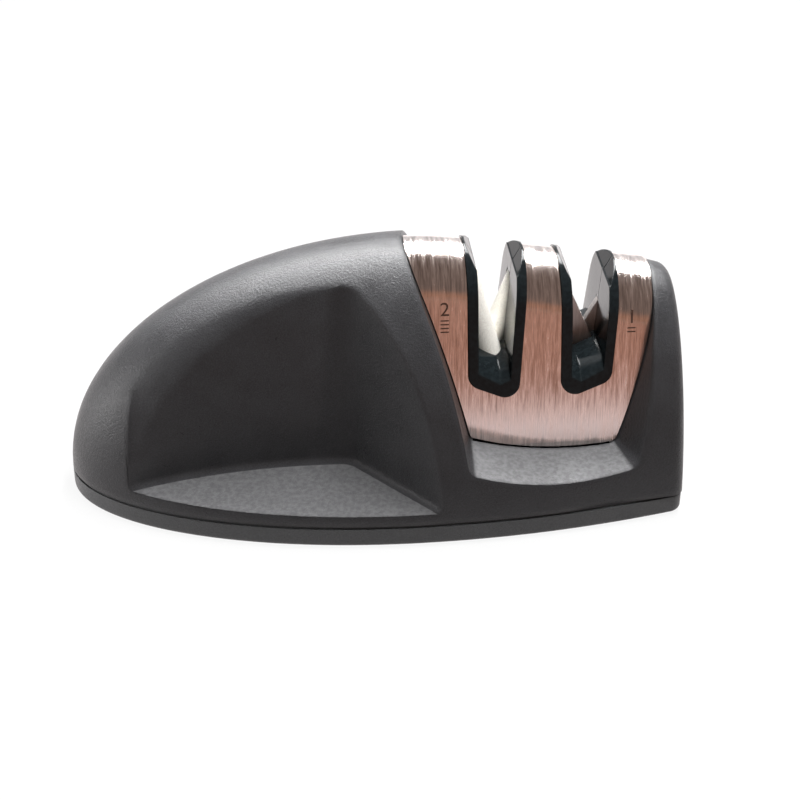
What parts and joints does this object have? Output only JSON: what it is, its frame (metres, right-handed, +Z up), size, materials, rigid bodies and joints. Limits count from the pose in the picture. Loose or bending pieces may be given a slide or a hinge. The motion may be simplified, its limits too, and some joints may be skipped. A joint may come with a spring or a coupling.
{
  "type": "manual knife sharpener",
  "caption": "Bench-top pull-through knife sharpener: domed body with finger scoops and a steel-covered head with a ceramic rod stage and a carbide plate stage.",
  "frame": {"origin": "on the surface that the feet stand on, under the centre of the body", "axes": "+X along the body from the rounded nose to the end with the slots, +Z up, front face towards -Y"},
  "size_m": [0.15, 0.069, 0.0654],
  "materials": {
    "shell_plastic": "fine spark-eroded grain",
    "base_plastic": "fine grain",
    "guide_plastic": "polished",
    "cover_steel": "upright brushing",
    "rod_ceramic": "fine ground",
    "plate_carbide": "ground",
    "holder_plastic": "as moulded",
    "foot_rubber": "matt",
    "screw_steel": "zinc plated"
  },
  "bodies": {
    "root": {"upper_shell": "shell_plastic", "base_plate": "base_plastic", "base_screws": "screw_steel", "foot_front_left": "foot_rubber", "foot_rear_left": "foot_rubber", "foot_front_right": "foot_rubber", "foot_rear_right": "foot_rubber", "steel_cover": "cover_steel", "guide_front": "guide_plastic", "guide_rear": "guide_plastic", "guide_screws": "screw_steel", "ceramic_rod_front": "rod_ceramic", "ceramic_rod_rear": "rod_ceramic", "rod_holder": "holder_plastic", "carbide_blade_front": "plate_carbide", "carbide_blade_rear": "plate_carbide", "blade_holder": "holder_plastic", "blade_screws": "screw_steel", "head_carrier": "holder_plastic", "module_screws": "screw_steel"}
  },
  "joints": []
}
